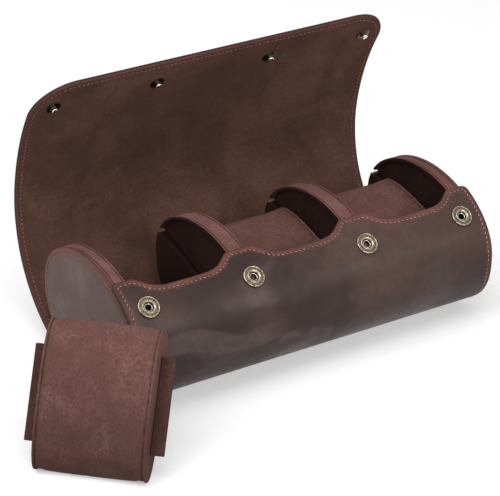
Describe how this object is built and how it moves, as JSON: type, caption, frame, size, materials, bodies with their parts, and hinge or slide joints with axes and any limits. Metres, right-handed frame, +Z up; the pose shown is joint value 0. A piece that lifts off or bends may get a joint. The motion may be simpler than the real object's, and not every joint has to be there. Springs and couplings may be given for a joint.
{
  "type": "watch travel case",
  "caption": "Roll-shaped leather travel case with a curved snap-down flap, padded dividers, slotted bays and slide-in cushions, a cushion standing outside.",
  "frame": {"origin": "centre of the flat base that the case rests on, at mid length", "axes": "+X along the case to its right end, +Y towards the back, where the flap hangs, +Z up"},
  "size_m": [0.295, 0.1907, 0.1557],
  "materials": {
    "outer_leather": "dark greyish brown oiled leather with a soft sheen and pull-up marks",
    "flap_suede": "dark reddish brown suede lining",
    "bay_suede": "very dark brown suede over padded board",
    "band_suede": "reddish brown suede band",
    "cushion_suede": "reddish brown short-nap suede",
    "board": "grey pulp board",
    "foam": "soft foam",
    "antique_brass": "antique brass, brushed by wear",
    "spring_steel": "bare spring wire"
  },
  "bodies": {
    "case": {"outer_leather": "outer_leather", "case_stiffener": "board", "case_lining": "flap_suede", "snap_sockets": "antique_brass", "socket_springs": "spring_steel", "socket_washers": "antique_brass", "left_end_leather": "outer_leather", "left_end_core": "board", "left_end_rim_band": "band_suede", "left_end_upper_pad": "bay_suede", "left_end_lower_pad": "bay_suede", "right_end_leather": "outer_leather", "right_end_core": "board", "right_end_rim_band": "band_suede", "right_end_upper_pad": "bay_suede", "right_end_lower_pad": "bay_suede", "left_divider_core": "board", "left_divider_rim_band": "band_suede", "left_divider_upper_pads": "bay_suede", "left_divider_lower_pads": "bay_suede", "right_divider_core": "board", "right_divider_rim_band": "band_suede", "right_divider_upper_pads": "bay_suede", "right_divider_lower_pads": "bay_suede"},
    "flap_panel_1": {"flap_leather_1": "outer_leather", "flap_lining_1": "flap_suede"},
    "flap_panel_2": {"flap_leather_2": "outer_leather", "flap_lining_2": "flap_suede"},
    "flap_panel_3": {"flap_leather_3": "outer_leather", "flap_lining_3": "flap_suede"},
    "flap_panel_4": {"flap_leather_4": "outer_leather", "flap_lining_4": "flap_suede"},
    "flap_panel_5": {"flap_leather_5": "outer_leather", "flap_lining_5": "flap_suede"},
    "flap_panel_6": {"flap_leather_6": "outer_leather", "flap_lining_6": "flap_suede", "snap_studs": "antique_brass", "snap_caps": "antique_brass"},
    "middle_cushion": {"middle_cushion_foam": "foam", "middle_cushion_cover": "cushion_suede", "middle_cushion_sides": "cushion_suede", "middle_cushion_wings": "cushion_suede"},
    "right_cushion": {"right_cushion_foam": "foam", "right_cushion_cover": "cushion_suede", "right_cushion_sides": "cushion_suede", "right_cushion_wings": "cushion_suede"},
    "loose_cushion": {"loose_cushion_foam": "foam", "loose_cushion_cover": "cushion_suede", "loose_cushion_sides": "cushion_suede", "loose_cushion_wings": "cushion_suede"}
  },
  "joints": [
    {"name": "flap_fold", "type": "hinge", "parent": "case", "child": "flap_panel_1", "pos_m": [0, 0.0198, 0.0027], "axis": [1, 0, 0], "range_deg": [0, 11.28]},
    {"name": "flap_fold_2", "type": "hinge", "parent": "flap_panel_1", "child": "flap_panel_2", "pos_m": [0, 0.0519, 0.01191], "axis": [1, 0, 0], "range_deg": [0, 24.23]},
    {"name": "flap_fold_3", "type": "hinge", "parent": "flap_panel_2", "child": "flap_panel_3", "pos_m": [0, 0.07197, 0.03162], "axis": [1, 0, 0], "range_deg": [0, 21.96]},
    {"name": "flap_fold_4", "type": "hinge", "parent": "flap_panel_3", "child": "flap_panel_4", "pos_m": [0, 0.08044, 0.05158], "axis": [1, 0, 0], "range_deg": [0, 11.69]},
    {"name": "flap_fold_5", "type": "hinge", "parent": "flap_panel_4", "child": "flap_panel_5", "pos_m": [0, 0.08073, 0.08545], "axis": [1, 0, 0], "range_deg": [0, 3.55]},
    {"name": "flap_edge_fold", "type": "hinge", "parent": "flap_panel_5", "child": "flap_panel_6", "pos_m": [0, 0.06322, 0.12992], "axis": [1, 0, 0], "range_deg": [0, 25.16]},
    {"name": "middle_cushion_slide", "type": "slide", "parent": "case", "child": "middle_cushion", "axis": [0, -0.9703, -0.2419], "range_m": [-0.038, 0]},
    {"name": "right_cushion_slide", "type": "slide", "parent": "case", "child": "right_cushion", "axis": [0, -0.9703, -0.2419], "range_m": [-0.038, 0]},
    {"name": "loose_cushion_lift", "type": "slide", "parent": "case", "child": "loose_cushion", "axis": [0, 0, 1], "range_m": [0, 0.06]}
  ],
  "couplings": [
    {"joint": "flap_fold_2", "follows": "flap_fold", "ratio": 2.1436},
    {"joint": "flap_fold_3", "follows": "flap_fold", "ratio": 1.9424},
    {"joint": "flap_fold_4", "follows": "flap_fold", "ratio": 1.0319},
    {"joint": "flap_fold_5", "follows": "flap_fold", "ratio": 0.31028}
  ]
}
